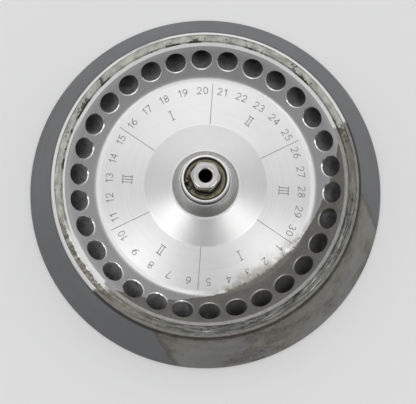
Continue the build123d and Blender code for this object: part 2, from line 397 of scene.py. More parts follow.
def arc(cx, cy, rx, ry, start, end, steps=14):
    """Points of an ellipse's arc, centre plus (rx cos t, ry sin t), from start to end degrees."""
    t = np.radians(np.linspace(start, end, steps))
    return np.stack([cx + rx * np.cos(t), cy + ry * np.sin(t)], -1)


def run(*points):
    """A straight or cornered line through the points."""
    return np.array(points, float)


# Each digit is single strokes in a cell one unit high and 0.62 wide.
DIGITS = {
    "0": [arc(.31, .5, .30, .5, 90, 450, 24)],
    "1": [run((.08, .76), (.34, 1)), run((.34, 1), (.34, 0))],
    "2": [np.concatenate([arc(.31, .70, .29, .30, 165, -35, 12), run((.02, 0))]), run((.02, 0), (.60, 0))],
    "3": [np.concatenate([arc(.30, .76, .26, .24, 150, -90, 11), arc(.30, .26, .30, .26, 90, -150, 12)])],
    "4": [run((.44, 0), (.44, 1)), run((.44, 1), (.0, .30)), run((.0, .30), (.62, .30))],
    "5": [run((.56, 1), (.12, 1)), np.concatenate([run((.12, 1), (.07, .56)),
                                                 arc(.29, .32, .31, .32, 118, -150, 13)])],
    "6": [np.concatenate([run((.50, 1)), arc(.46, .33, .45, .60, 140, 180, 5),
                          arc(.31, .30, .30, .30, 180, 540, 20)])],
    "7": [run((.0, 1), (.60, 1)), run((.60, 1), (.22, 0))],
    "8": [arc(.31, .75, .25, .25, -90, 270, 18), arc(.31, .26, .30, .26, 90, 450, 20)],
    "9": [np.concatenate([run((.12, 0)), arc(.16, .67, .45, .60, -40, 0, 5),
                          arc(.31, .70, .30, .30, 0, 360, 20)])],
}


def strip(path, width, low, high):
    """A flat bar along a path in the plane: at each point, half the width to each side along the path's
    normal, at a low and a high level, and the two ends run on by half the width and are closed."""
    path = np.asarray(path, float)
    along = np.gradient(path, axis=0)
    along /= np.linalg.norm(along, axis=1, keepdims=True)
    path = path.copy()
    path[0] -= along[0] * width / 2
    path[-1] += along[-1] * width / 2
    across = np.stack([-along[:, 1], along[:, 0]], -1) * width / 2
    sides = np.stack([path + across, path - across, path - across, path + across], 1)
    levels = np.broadcast_to(np.array([low, low, high, high])[None, :, None], (len(path), 4, 1))
    co = np.concatenate([sides, levels], -1)
    n = len(path)
    i, k = np.arange(n - 1)[:, None] * 4, np.arange(4)[None, :]
    beside = (k + 1) % 4
    body = np.stack([i + k, i + beside, i + 4 + beside, i + 4 + k], -1).reshape(-1, 4)
    ends = np.array([[3, 2, 1, 0], [4 * n - 4, 4 * n - 3, 4 * n - 2, 4 * n - 1]])
    return co.reshape(-1, 3), np.concatenate([body, ends])


def on_disc(strokes, azimuth, radius, scale, width, level):
    """Strokes laid on the disc with their tops outward: radius plus height along the ray, width clockwise."""
    parts = []
    out = np.array([math.cos(azimuth), math.sin(azimuth)])
    clockwise = np.array([out[1], -out[0]])
    for k, stroke in enumerate(strokes):
        flat = stroke[:, :1] * scale * clockwise + (radius + stroke[:, 1:] * scale) * out
        co, faces = strip(flat, width, level - 0.06, level + 0.025 + 0.002 * k)
        parts.append((co * MM, faces[:, ::-1], 0))
    return parts


def place_number(n, s):
    """The strokes of a place's number, centred on the ray of its bore. Numbers rise clockwise from above."""
    text, gap = str(n), 0.34
    wide = {"1": .40}
    spans = [wide.get(ch, .62) for ch in text]
    start = -(sum(spans) + gap * (len(text) - 1)) / 2
    strokes = []
    for ch, span in zip(text, spans):
        strokes += [stroke + [start, -0.5] for stroke in DIGITS[ch]]
        start += span + gap
    return on_disc(strokes, place_ray(n, s.places), NUMBERS_AT, in_mm(s.digit_height),
                   in_mm(s.stroke_width), in_mm(s.disc_height))


def roman_mark(count, azimuth, s):
    """One to three upright bars between a head bar and a foot bar, as a sector's mark."""
    pitch, half = 0.30, 0.5
    x = (np.arange(count) - (count - 1) / 2) * pitch
    edge = x[-1] + 0.14
    strokes = [run((v, -half), (v, half)) for v in x]
    strokes += [run((-edge, half), (edge, half)), run((-edge, -half), (edge, -half))]
    return on_disc(strokes, azimuth, MARKS_AT, 5.2, in_mm(s.stroke_width), in_mm(s.disc_height))


# ---------------------------------------------------------------- finishes

class Nodes:
    """A small hand for building the nodes of one material, or of the surroundings."""

    def __init__(self, name, kind="materials"):
        self.block = getattr(bpy.data, kind).new(name)
        self.block.use_nodes = True
        self.tree = self.block.node_tree
        self.tree.nodes.clear()

    def add(self, kind, *inputs, out=0, **settings):
        made = self.tree.nodes.new(kind)
        for key, value in settings.items():
            setattr(made, key, value)
        for k, value in enumerate(inputs):
            self.put(made.inputs[k], value)
        return made.outputs[out] if made.outputs else made

    def put(self, socket, value):
        if isinstance(value, bpy.types.NodeSocket):
            self.tree.links.new(value, socket)
        elif value is not None:
            socket.default_value = value

    def math(self, operation, *inputs):
        return self.add("ShaderNodeMath", *inputs, operation=operation)

    def times(self, a, b):
        return self.math("MULTIPLY", a, b)

    def plus(self, a, b):
        return self.math("ADD", a, b)

    def split(self, vector):
        made = self.tree.nodes.new("ShaderNodeSeparateXYZ")
        self.put(made.inputs[0], vector)
        return made.outputs

    def towards(self, x, y, degrees):
        """How far a point lies out in one direction: x cos a + y sin a."""
        a = math.radians(degrees)
        return self.plus(self.times(x, math.cos(a)), self.times(y, math.sin(a)))

    def between(self, value, start, full, fading, gone):
        """One from full to fading, and nought before start and after gone."""
        return self.times(self.ramp(value, start, full), self.ramp(value, fading, gone, 1.0, 0.0))

    def noise(self, at, scale, detail=3.0, rough=0.5):
        made = self.tree.nodes.new("ShaderNodeTexNoise")
        self.put(made.inputs["Vector"], at)
        made.inputs["Scale"].default_value = scale
        made.inputs["Detail"].default_value = detail
        made.inputs["Roughness"].default_value = rough
        return made.outputs["Fac"]

    def streaks(self, r, c, s, across, along, detail, rough=0.6):
        """Noise drawn out along the ring: fast with the radius, slow round the axis."""
        at = self.add("ShaderNodeCombineXYZ", self.times(r, across), self.times(c, along),
                      self.times(s, along))
        return self.noise(at, 1.0, detail, rough)

    def ramp(self, value, low, high, to_low=0.0, to_high=1.0, smooth=True):
        made = self.tree.nodes.new("ShaderNodeMapRange")
        made.interpolation_type = "SMOOTHSTEP" if smooth else "LINEAR"
        for key, v in (("Value", value), ("From Min", low), ("From Max", high), ("To Min", to_low),
                       ("To Max", to_high)):
            self.put(made.inputs[key], v)
        return made.outputs["Result"]

    def mix(self, factor, a, b):
        made = self.tree.nodes.new("ShaderNodeMix")
        made.data_type = "RGBA"
        self.put(made.inputs["Factor"], factor)
        for socket, value in ((made.inputs[6], a), (made.inputs[7], b)):
            self.put(socket, (*value, 1.0) if isinstance(value, (tuple, list)) and len(value) == 3 else value)
        return made.outputs[2]

    def shade(self, colour, rough, metallic=1.0, anisotropic=0.0, bump=None, strength=0.2, distance=0.0002,
              specular=0.5):
        made = self.tree.nodes.new("ShaderNodeBsdfPrincipled")
        self.put(made.inputs["Base Color"], (*colour, 1.0) if isinstance(colour, tuple) else colour)
        self.put(made.inputs["Roughness"], rough)
        self.put(made.inputs["Metallic"], metallic)
        made.inputs["Specular IOR Level"].default_value = specular
        if anisotropic:
            made.inputs["Anisotropic"].default_value = anisotropic
            # A quarter turn, so that the gloss spreads across the turned rings.
            made.inputs["Anisotropic Rotation"].default_value = 0.25
            self.put(made.inputs["Tangent"], self.add("ShaderNodeTangent", direction_type="RADIAL", axis="Z"))
        if bump is not None:
            dent = self.tree.nodes.new("ShaderNodeBump")
            dent.inputs["Strength"].default_value = strength
            dent.inputs["Distance"].default_value = distance
            self.put(dent.inputs["Height"], bump)
            self.put(made.inputs["Normal"], dent.outputs["Normal"])
        end = self.tree.nodes.new("ShaderNodeOutputMaterial")
        self.tree.links.new(made.outputs["BSDF"], end.inputs["Surface"])
        return self.block


def scaled(colour, share):
    """A darker or lighter shade of a colour."""
    return tuple(min(1.0, v * share) for v in colour)


def polar(n):
    """Object coordinates with their x, y and z, the radius, and the cosine and sine of the direction."""
    at = n.add("ShaderNodeTexCoord", out=3)
    x, y, z = n.split(at)
    flat = n.add("ShaderNodeCombineXYZ", x, y, 0.0)
    r = n.add("ShaderNodeVectorMath", flat, operation="LENGTH", out=1)
    c, s, _ = n.split(n.add("ShaderNodeVectorMath", flat, operation="NORMALIZE"))
    return at, x, y, z, r, c, s


def turned(n, r, z, c, s, fine=2600.0, along=1.2):
    """Rings left by the lathe: noise that runs fast with radius and height and slowly round the axis."""
    reach = n.plus(r, n.times(z, 0.7))
    return n.streaks(reach, c, s, fine, along, 3.0)


FILM_SIDE = 308  # degrees, the middle of the side that the film lies on
CONE_TIDE = 0.1112, -2.23  # the film's edge on the bore cone, in metres and metres per metre of height
WALL_TIDE = 0.0755, -0.69  # and on the outer wall


def film(n, at, x, y, z, start, slope, soft=0.0012, ragged=0.004):
    """Where the film lies past a slanting tide line on one side of the rotor: a mask, a band along the line,
    and the distance past it.

    The distance is x cos a + y sin a less (start + slope z), roughened by noise.
    """
    line = n.plus(n.times(z, slope), start)
    past = n.math("SUBTRACT", n.towards(x, y, FILM_SIDE), line)
    wander = n.times(n.math("SUBTRACT", n.noise(at, 140.0, 4.0, 0.6), 0.5), ragged * 2)
    past = n.plus(past, wander)
    mask = n.ramp(past, 0.0, soft)
    band = n.between(past, -0.0004, 0.0008, 0.0010, 0.0040)
    return mask, band, past


def wall_finish(c):
    """Satin grey outer wall: faint turned rings, soft clouding, and the film's slanting edge."""
    n = Nodes("wall_satin_grey")
    at, x, y, z, r, cs, sn = polar(n)
    rings = turned(n, r, z, cs, sn, 1800.0, 0.6)
    cloud = n.noise(at, 28.0, 3.0, 0.55)
    base = n.mix(n.ramp(cloud, 0.3, 0.7), scaled(c.wall, 0.92), scaled(c.wall, 1.08))
    mask, band, _ = film(n, at, x, y, z, *WALL_TIDE, 0.0010, 0.0022)
    blotch = n.noise(at, 60.0, 5.0, 0.62)
    specks = n.ramp(n.noise(at, 420.0, 3.0, 0.7), 0.60, 0.72)
    patch = n.noise(at, 34.0, 3.0, 0.6)
    grit = n.noise(at, 700.0, 2.0, 0.6)
    dry = n.mix(n.ramp(blotch, 0.40, 0.62), scaled(c.film, 2.4), scaled(c.film, 1.0))
    dry = n.mix(n.times(n.ramp(patch, 0.52, 0.62), 0.55), dry, scaled(c.wall, 2.4))
    dry = n.mix(n.times(n.ramp(patch, 0.36, 0.46, 1.0, 0.0), 0.7), dry, (0.066, 0.070, 0.046))
    dry = n.mix(n.times(specks, 0.45), dry, (0.045, 0.041, 0.030))
    dry = n.mix(n.ramp(grit, 0.36, 0.64, 0.0, 0.42), dry, scaled(c.film, 2.8))
    colour = n.mix(n.times(mask, 0.86), base, dry)
    colour = n.mix(n.times(band, 0.62), colour, (0.085, 0.068, 0.045))
    # Painted shade: the wall is darkened towards its foot, next to the floor.
    low = n.ramp(z, 0.0010, 0.0032, 1.0, 0.0)
    colour = n.mix(n.times(low, 0.55), colour, (0.045, 0.043, 0.042))
    # Painted shadow: under the lip on the film's side the wall is darkened; elsewhere the lip's edge is worn
    # bright.
    under_lip = n.between(z, 0.0355, 0.0372, 0.0378, 0.0386)
    reach = n.towards(x, y, FILM_SIDE)
    shaded_side = n.ramp(reach, 0.005, 0.020)
    dirt = n.times(under_lip, n.times(shaded_side, 0.72))
    colour = n.mix(dirt, colour, (0.022, 0.019, 0.015))
    # The lip's lower edge is painted near white: bare worn metal, and partly a painted highlight.
    bare_lip_highlight = n.between(z, 0.0362, 0.0366, 0.0372, 0.0376)
    bare_lip_highlight = n.times(bare_lip_highlight, n.ramp(r, 0.0830, 0.0834, 1.0, 0.0))
    bare_lip_highlight = n.times(bare_lip_highlight, n.ramp(reach, 0.0140, 0.0160, 1.0, 0.0))
    colour = n.mix(bare_lip_highlight, colour, (0.96, 0.955, 0.945))
    rough = n.plus(n.times(mask, 0.18), n.math("MULTIPLY_ADD", rings, 0.10, 0.42))
    return n.shade(colour, rough, 0.0, bump=n.plus(n.times(rings, 0.3), blotch),
                   strength=0.10, distance=0.0001, specular=0.35)


def cone_finish(c):
    """Turned aluminium between the mouths: fine rings and light clouding, a painted highlight on the curve at
    its foot, and the dried film where it has reached, grey brown and gritty with a darker line along its
    edge."""
    n = Nodes("cone_turned")
    at, x, y, z, r, cs, sn = polar(n)
    rings = turned(n, r, z, cs, sn, 2400.0)
    cloud = n.noise(at, 45.0, 3.0, 0.5)
    tone = n.plus(n.times(rings, 0.6), n.times(cloud, 0.4))
    base = n.mix(n.ramp(tone, 0.3, 0.7), scaled(c.cone, 0.93), scaled(c.cone, 1.07))
    # Painted highlight: the curve at the cone's foot is painted near white.
    base = n.mix(n.ramp(r, 0.0596, 0.0622, 0.75, 0.0), base, (0.92, 0.92, 0.92))
    base = n.mix(n.ramp(r, 0.0715, 0.0745, 0.0, 0.35), base, (0.80, 0.80, 0.80))
    mask, band, _ = film(n, at, x, y, z, *CONE_TIDE, 0.0015, 0.0030)
    blotch = n.noise(at, 110.0, 5.0, 0.65)
    dirt = n.mix(n.ramp(blotch, 0.35, 0.65), scaled(c.film, 0.68), scaled(c.film, 1.06))
    grit = n.noise(at, 800.0, 2.0, 0.6)
    dirt = n.mix(n.ramp(grit, 0.30, 0.70, 0.0, 0.36), dirt, scaled(c.film, 1.9))
    base = n.mix(n.times(mask, 0.88), base, dirt)
    base = n.mix(n.times(band, 0.45), base, (0.13, 0.105, 0.07))
    level = n.plus(n.math("MULTIPLY_ADD", rings, 0.08, 0.36), n.times(mask, 0.22))
    metal = n.math("MULTIPLY_ADD", mask, -0.49, 0.65)
    return n.shade(base, level, metal, 0.4, rings, 0.06, 0.00008)


def disc_finish(c):
    """Bright turned disc and its duller inner slope. The film's edge here is soft, with a pale haze and brown
    crust ahead of it."""
    n = Nodes("disc_turned")
    at, x, y, z, r, cs, sn = polar(n)
    rings = turned(n, r, z, cs, sn, 3200.0)
    cloud = n.noise(at, 45.0, 3.0, 0.5)
    tone = n.plus(n.times(rings, 0.6), n.times(cloud, 0.4))
    base = n.mix(n.ramp(tone, 0.3, 0.7), scaled(c.disc, 0.945), scaled(c.disc, 1.05))
    slope = n.ramp(r, 0.0336, 0.0342, 1.0, 0.0)
    start = n.ramp(r, 0.0560, 0.0600, 0.0566, 0.0534)
    mask, _, past = film(n, at, x, y, z, start, 0.0, 0.0042, 0.0040)
    haze = n.ramp(past, -0.0090, 0.0)
    blotch = n.noise(at, 120.0, 5.0, 0.65)
    grit = n.noise(at, 560.0, 3.0, 0.6)
    pale = n.mix(n.ramp(grit, 0.40, 0.62), (0.29, 0.275, 0.225), (0.55, 0.54, 0.50))
    hazy = n.times(haze, n.ramp(blotch, 0.34, 0.56))
    base = n.mix(n.times(hazy, 0.75), base, pale)
    crust = n.times(n.ramp(past, -0.0045, 0.0010), n.ramp(grit, 0.50, 0.64))
    base = n.mix(n.times(crust, 0.75), base, (0.17, 0.135, 0.075))
    dirt = n.mix(n.ramp(blotch, 0.35, 0.65), scaled(c.film, 1.15), scaled(c.film, 1.7))
    base = n.mix(n.times(mask, 0.92), base, dirt)
    level = n.plus(n.math("MULTIPLY_ADD", rings, 0.08, 0.26), n.times(slope, 0.07))
    level = n.plus(level, n.math("MULTIPLY_ADD", mask, 0.15, n.times(hazy, 0.12)))
    metal = n.math("SUBTRACT", n.math("MULTIPLY_ADD", mask, -0.45, 1.0), n.times(hazy, 0.40))
    # A narrow land round the hub's foot is painted bright, and the curve up to the cone is painted near white
    # as a painted highlight.
    land = n.math("MAXIMUM", n.ramp(r, 0.0190, 0.0193, 1.0, 0.0), n.ramp(r, 0.0576, 0.0586))
    land = n.times(land, n.ramp(past, -0.0130, -0.0010, 1.0, 0.0))
    base = n.mix(n.times(land, 0.9), base, (0.98, 0.98, 0.975))
    metal = n.times(metal, n.math("MULTIPLY_ADD", land, -0.75, 1.0))
    return n.shade(base, level, metal, 0.6, rings, 0.06, 0.00008)


def edge_finish():
    """Broken edges of the mouths: bright metal that dulls under the film."""
    n = Nodes("mouth_edges")
    at, x, y, z = polar(n)[:4]
    mask = film(n, at, x, y, z, *CONE_TIDE, 0.0040, 0.0040)[0]
    base = n.mix(mask, (0.88, 0.88, 0.87), (0.40, 0.39, 0.36))
    return n.shade(base, n.math("MULTIPLY_ADD", mask, 0.12, 0.26), 1.0, 0.0)


def seat_finish(c):
    """Dull seal seat: pale greenish oxide, dark pits crowded towards the inner groove, and the film."""
    n = Nodes("seat_pitted")
    at, x, y, z, r, cs, sn = polar(n)
    rings = turned(n, r, z, cs, sn, 2200.0, 3.0)
    patch = n.streaks(r, cs, sn, 260.0, 14.0, 4.0)
    base = n.mix(n.ramp(patch, 0.35, 0.65), scaled(c.seat, 0.72), scaled(c.seat, 1.22))
    inward = n.ramp(r, 0.0768, 0.0798, 1.0, 0.0)
    grain = n.noise(at, 520.0, 4.0, 0.62)
    area = n.noise(at, 75.0, 2.0, 0.5)
    amount = n.plus(n.times(inward, 0.10),
                    n.times(n.math("SUBTRACT", area, 0.5), 0.9))
    pits = n.ramp(n.plus(grain, amount), 0.66, 0.74)
    base = n.mix(n.times(pits, 0.85), base, (0.055, 0.050, 0.038))
    corner = n.between(r, 0.0757, 0.0761, 0.0766, 0.0773)
    base = n.mix(n.times(corner, n.ramp(area, 0.46, 0.60)), base, (0.06, 0.052, 0.038))
    # A thin line of painted shade, as of a shallow groove, runs just inside the bright outer edge.
    groove_shade_line = n.between(r, 0.0798, 0.0802, 0.0803, 0.0806)
    base = n.mix(n.times(groove_shade_line, n.ramp(area, 0.36, 0.52, 0.2, 0.8)), base, (0.09, 0.085, 0.068))
    # A ragged stretch on the left: brown patches, and bright metal laid bare along the ridge.
    ragged = n.ramp(n.towards(x, y, 226), 0.068, 0.073)
    flake = n.noise(at, 300.0, 4.0, 0.6)
    brown = n.times(ragged, n.ramp(flake, 0.42, 0.50))
    rust = n.mix(n.ramp(grain, 0.42, 0.60), (0.24, 0.215, 0.165), (0.060, 0.050, 0.034))
    base = n.mix(n.times(brown, 0.85), base, rust)
    torn = n.times(ragged, n.ramp(n.plus(r, n.times(flake, 0.004)), 0.0795, 0.0799,
                                             1.0, 0.0))
    base = n.mix(n.times(torn, 0.9), base, (0.93, 0.93, 0.92))
    mask, _, past = film(n, at, x, y, z, 0.0148, 0.0, 0.0060, 0.006)
    # Under the film the seat is eaten away in dark streaks along the ring, with bare metal glinting between.
    streak = n.streaks(r, cs, sn, 1100.0, 7.0, 5.0, 0.68)
    worst = n.ramp(past, 0.022, 0.045)
    mild = n.mix(n.ramp(streak, 0.36, 0.64), (0.085, 0.077, 0.058), (0.25, 0.235, 0.20))
    eaten = n.mix(n.ramp(streak, 0.42, 0.60), (0.028, 0.030, 0.024), (0.20, 0.20, 0.18))
    dirt = n.mix(worst, mild, eaten)
    deep = n.times(worst, n.ramp(streak, 0.61, 0.66))
    dirt = n.mix(n.times(deep, 0.80), dirt, (0.72, 0.72, 0.70))
    base = n.mix(n.times(mask, 0.88), base, dirt)
    return n.shade(base, n.math("MULTIPLY_ADD", pits, 0.25, 0.46), 0.30, 0.0,
                   n.math("SUBTRACT", rings, pits), 0.35, 0.00025)


def bare_finish():
    """Bright bare edges: the rim's chamfer and ridge."""
    n = Nodes("bare_edges")
    at, x, y, z, r, cs, sn = polar(n)
    rings = turned(n, r, z, cs, sn, 3000.0, 2.0)
    scuff = n.noise(at, 260.0, 4.0, 0.6)
    base = n.mix(n.ramp(scuff, 0.35, 0.65), (0.95, 0.945, 0.935), (0.99, 0.985, 0.975))
    # The rim's chamfer loses its shine where the film starts, and the ridge a little less.
    outer = n.ramp(r, 0.0790, 0.0798)
    wander = n.times(n.math("SUBTRACT", n.noise(at, 160.0, 3.0, 0.6), 0.5), 0.006)
    past = n.ramp(n.plus(n.towards(x, y, FILM_SIDE), wander), 0.0140, 0.0160)
    streak = n.streaks(r, cs, sn, 1500.0, 30.0, 3.0)
    dull = n.mix(n.ramp(streak, 0.38, 0.62), (0.13, 0.118, 0.096), (0.27, 0.255, 0.22))
    worn = n.mix(n.times(past, n.math("MULTIPLY_ADD", outer, 0.14, 0.78)), base, dull)
    # One short stretch of the chamfer is chipped and dull.
    chip = n.ramp(n.towards(x, y, 119), 0.0806, 0.0809)
    chipped = n.times(n.times(chip, outer), n.ramp(scuff, 0.30, 0.5))
    worn = n.mix(n.times(chipped, 0.7), worn, (0.30, 0.29, 0.26))
    # On one side only the ridge's outer half is bright.
    narrow = n.times(n.ramp(n.towards(x, y, 184), 0.066, 0.071), n.ramp(r, 0.0749, 0.0752, 1.0, 0.0))
    worn = n.mix(narrow, worn, (0.42, 0.42, 0.42))
    rough = n.math("MULTIPLY_ADD", past, 0.25, 0.30)
    return n.shade(worn, rough, 0.0, 0.0, rings, 0.12, 0.0001, specular=1.0)


def bore_finish():
    """Inside of the bores: dull, clouded aluminium with specks of grime, darker under the film."""
    n = Nodes("bore_dull")
    at, x, y, z = polar(n)[:4]
    cloud = n.noise(at, 180.0, 4.0, 0.6)
    grime = n.noise(at, 520.0, 3.0, 0.65)
    base = n.mix(n.ramp(cloud, 0.35, 0.65), (0.37, 0.37, 0.375), (0.54, 0.54, 0.545))
    base = n.mix(n.times(n.ramp(grime, 0.56, 0.66), 0.4), base, (0.12, 0.115, 0.10))
    mask = film(n, at, x, y, z, *CONE_TIDE, 0.0060, 0.0040)[0]
    base = n.mix(n.times(mask, 0.72), base, n.mix(cloud, (0.10, 0.10, 0.09), (0.17, 0.165, 0.15)))
    return n.shade(base, n.math("MULTIPLY_ADD", cloud, 0.2, 0.38), 0.55, 0.0, grime, 0.15, 0.0001)


def hub_finish(c):
    """Turned steel hub: bright polished top, a painted highlight on the shoulder edge, a bright foot, dull
    flank, grey thread, and painted shade on the step's inner part and in the recess.
    """
    n = Nodes("hub_turned_steel")
    at, _, _, z, r, cs, sn = polar(n)
    rings = turned(n, r, z, cs, sn, 3000.0, 1.0)
    cloud = n.noise(at, 160.0, 4.0, 0.6)
    flank = n.mix(n.ramp(cloud, 0.3, 0.7), scaled(c.steel, 0.88), scaled(c.steel, 1.12))
    collar = n.mix(n.ramp(cloud, 0.3, 0.7), (0.20, 0.205, 0.225), (0.33, 0.335, 0.36))
    bright = n.mix(n.ramp(rings, 0.3, 0.7), (0.80, 0.79, 0.77), (0.95, 0.94, 0.92))
    dark = n.mix(n.ramp(cloud, 0.35, 0.65), (0.035, 0.033, 0.025), (0.11, 0.105, 0.08))
    above = n.ramp(z, 0.0462, 0.0466)
    base = n.mix(above, flank, collar)
    # The shoulder edge is painted bright as a painted highlight, the foot is painted bright, and the top land
    # is bright polished steel.
    edge = n.between(z, 0.0442, 0.0450, 0.0463, 0.0465)
    ledge = n.between(z, 0.0464, 0.0465, 0.0476, 0.0484)
    foot = n.ramp(z, 0.0304, 0.0312, 1.0, 0.0)
    land = n.ramp(z, 0.0526, 0.0530)
    base = n.mix(n.math("MAXIMUM", n.times(n.math("MAXIMUM", edge, foot), 0.6), land), base, bright)
    # On the step the inner part is painted dark as painted shade, and the outer part with its chamfer is
    # painted bright as a painted highlight.
    inner = n.ramp(r, 0.0132, 0.0134, 1.0, 0.0)
    base = n.mix(n.times(n.times(ledge, inner), 0.8), base, (0.13, 0.13, 0.14))
    base = n.mix(n.times(ledge, n.math("SUBTRACT", 1.0, inner)), base, bright)
    # Painted shade: the recess inside the top is painted dark.
    recess_shade = n.times(n.ramp(r, 0.01135, 0.01155, 1.0, 0.0), n.ramp(z, 0.0528, 0.0531, 1.0, 0.0))
    base = n.mix(recess_shade, base, dark)
    thread = n.times(n.math("SINE", n.times(z, 2 * math.pi / 0.0010)),
                    n.between(z, 0.0476, 0.0480, 0.0520, 0.0526))
    bump = n.math("MULTIPLY_ADD", thread, 1.2, n.times(rings, 0.25))
    return n.shade(base, n.math("MULTIPLY_ADD", cloud, 0.12, 0.15), 0.95, 0.4, bump, 0.5, 0.00015)


def nut_finish():
    """Turned steel of the nut, darker down towards its flange."""
    n = Nodes("nut_steel")
    _, _, _, z, r, cs, sn = polar(n)
    rings = turned(n, r, z, cs, sn, 3000.0)
    base = n.mix(n.ramp(rings, 0.32, 0.68), (0.46, 0.445, 0.43), (0.60, 0.585, 0.57))
    low_darkening = n.ramp(z, 0.0520, 0.0560, 1.0, 0.0)
    base = n.mix(n.times(low_darkening, 0.9), base, (0.050, 0.046, 0.034))
    corner = n.between(z, 0.0618, 0.0622, 0.0629, 0.06305)
    base = n.mix(n.times(corner, 0.5), base, (0.80, 0.79, 0.77))
    return n.shade(base, n.math("MULTIPLY_ADD", low_darkening, 0.15, 0.24), 1.0, 0.3, rings, 0.08, 0.00008)


def retaining_ring_finish():
    """Yellow passivated spring steel, with painted shade in the gaps towards its groove and at its inner
    edge, dark patches towards the inside, and a painted shade line along a groove.
    """
    n = Nodes("ring_passivated")
    at, _, _, _, r, _, _ = polar(n)
    cloud = n.noise(at, 300.0, 4.0, 0.6)
    base = n.mix(n.ramp(cloud, 0.3, 0.7), (0.15, 0.14, 0.085), (0.29, 0.27, 0.18))
    # Painted shade in the gaps: the ring is darkened towards its groove and at its inner edge, and in dark
    # patches towards the inside.
    gap_shade_and_patches = n.math("MAXIMUM", n.ramp(r, 0.01015, 0.01045), n.ramp(r, 0.0084, 0.0087, 1.0, 0.0))
    # A painted shade line along a groove in the ring.
    line = n.between(r, 0.0090, 0.0091, 0.0092, 0.0093)
    patches = n.ramp(n.noise(at, 130.0, 3.0, 0.6), 0.44, 0.54)
    dark_patches = n.times(n.ramp(r, 0.0088, 0.0098, 1.0, 0.0), patches)
    gap_shade_and_patches = n.math("MAXIMUM", gap_shade_and_patches, dark_patches)
    base = n.mix(n.math("MAXIMUM", n.times(gap_shade_and_patches, 0.93), n.times(line, 0.6)), base,
                 (0.022, 0.020, 0.014))
    return n.shade(base, n.math("MULTIPLY_ADD", cloud, 0.2, 0.30), 0.8, 0.0, cloud, 0.2, 0.0001)


def plain_finish(name, colour, rough, metallic=1.0, grain=300.0, spread=0.12, strength=0.1):
    """A metal with light clouding and grain and nothing else."""
    n = Nodes(name)
    at = n.add("ShaderNodeTexCoord", out=3)
    cloud = n.noise(at, grain, 4.0, 0.6)
    base = n.mix(n.ramp(cloud, 0.3, 0.7), scaled(colour, 1 - spread), scaled(colour, 1 + spread))
    level = n.math("MULTIPLY_ADD", cloud, 0.14, rough - 0.07)
    return n.shade(base, level, metallic, 0.0, cloud, strength, 0.0001)


def dress(node, *materials):
    """Gives a frame node its finish."""
    slots = frame["nodes"][node].data.materials
    slots.clear()
    for material in materials:
        slots.append(material)


# ---------------------------------------------------------------- operators

def settings():
    scene = bpy.context.scene
    return scene.rotor_sizes, scene.rotor_colours


class ROTOR_OT_body(bpy.types.Operator):
    """Builds the body: rim, outer wall, underside, disc, bore cone and the ring of slanted bores"""
    bl_idname = "rotor.body"
    bl_label = "Body with its bores"

    def execute(self, context):
        s, c = settings()
        section, zones = body_section(s)
        columns = s.places * AROUND
        shell = lathe(section, columns)
        faces = ring_faces(columns, len(section), closed=True)
        patches, patch_faces = mouth_patches(s)
        bores, bore_faces, bore_numbers = tube_bores(s)
        finishes = [
            wall_finish(c),
            bare_finish(),
            seat_finish(c),
            cone_finish(c),
            bore_finish(),
            disc_finish(c),
            plain_finish("underside_machined", (0.50, 0.50, 0.51), 0.42, 0.9, 60.0),
            edge_finish(),
        ]
        body = make_piece(
            "rotor_shell",
            [(shell, faces, np.tile(zones, columns)), (patches, patch_faces, CONE),
             (bores, bore_faces, bore_numbers)],
            finishes, "rotor", merge=2e-6)
        mesh = body.data
        bm = bmesh.new()
        bm.from_mesh(mesh)
        bmesh.ops.recalc_face_normals(bm, faces=bm.faces)
        loose = [e for e in bm.edges if len(e.link_faces) != 2]
        bm.to_mesh(mesh)
        bm.free()
        if loose:
            raise RuntimeError(f"the body has {len(loose)} open or doubled edges")
        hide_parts("rotor_body")
        return {"FINISHED"}


class ROTOR_OT_engraving(bpy.types.Operator):
    """Lays the place numbers, the sector lines and the Roman sector marks on the disc"""
    bl_idname = "rotor.engraving"
    bl_label = "Numbers and lines"

    def execute(self, context):
        s, c = settings()
        ink = plain_finish("engraved_strokes", tuple(c.ink), 0.6, 0.2, 900.0, 0.3, 0.2)
        numbers = [part for n in range(1, s.places + 1) for part in place_number(n, s)]
        make_piece("place_numbers", numbers, [ink], "rotor", merge=0)
        width, level = in_mm(s.stroke_width) * 0.8, in_mm(s.disc_height)
        ray = [run((0, 0), (0, 1))]
        lines = [part for k in range(6)
                 for part in on_disc(ray, math.radians(30 + 60 * k), LINES_FROM, LINES_LONG, width, level)]
        make_piece("sector_lines", lines, [ink], "rotor", merge=0)
        marks = [part for place, count in ((18, 1), (23, 2), (28, 3), (3, 1), (8, 2), (13, 3))
                 for part in roman_mark(count, place_ray(place, s.places), s)]
        make_piece("sector_marks", marks, [ink], "rotor", merge=0)
        return {"FINISHED"}


class ROTOR_OT_hub(bpy.types.Operator):
    """Finishes the hub sleeve in turned steel"""
    bl_idname = "rotor.hub"
    bl_label = "Hub sleeve"

    def execute(self, context):
        dress("hub_sleeve", hub_finish(settings()[1]))
        return {"FINISHED"}


class ROTOR_OT_nut(bpy.types.Operator):
    """Builds the captive nut and finishes its washer and retaining ring"""
    bl_idname = "rotor.nut"
    bl_label = "Captive nut"

    def execute(self, context):
        co, faces, numbers = nut_surface(settings()[0].nut_turn)
        # The nut's bore gets a near black finish: painted shade of the deep hole.
        nut = make_piece("captive_nut", [(co, faces, numbers)],
                         [nut_finish(),
                          plain_finish("nut_bore_painted_shade", (0.012, 0.011, 0.010), 0.6, 0.2)],
                         "nut")
        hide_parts("rotor_nut")
        dress("nut_washer", plain_finish("washer_dull", (0.30, 0.28, 0.22), 0.45, 0.8))
        dress("nut_retaining_ring", retaining_ring_finish())
        return {"FINISHED"}


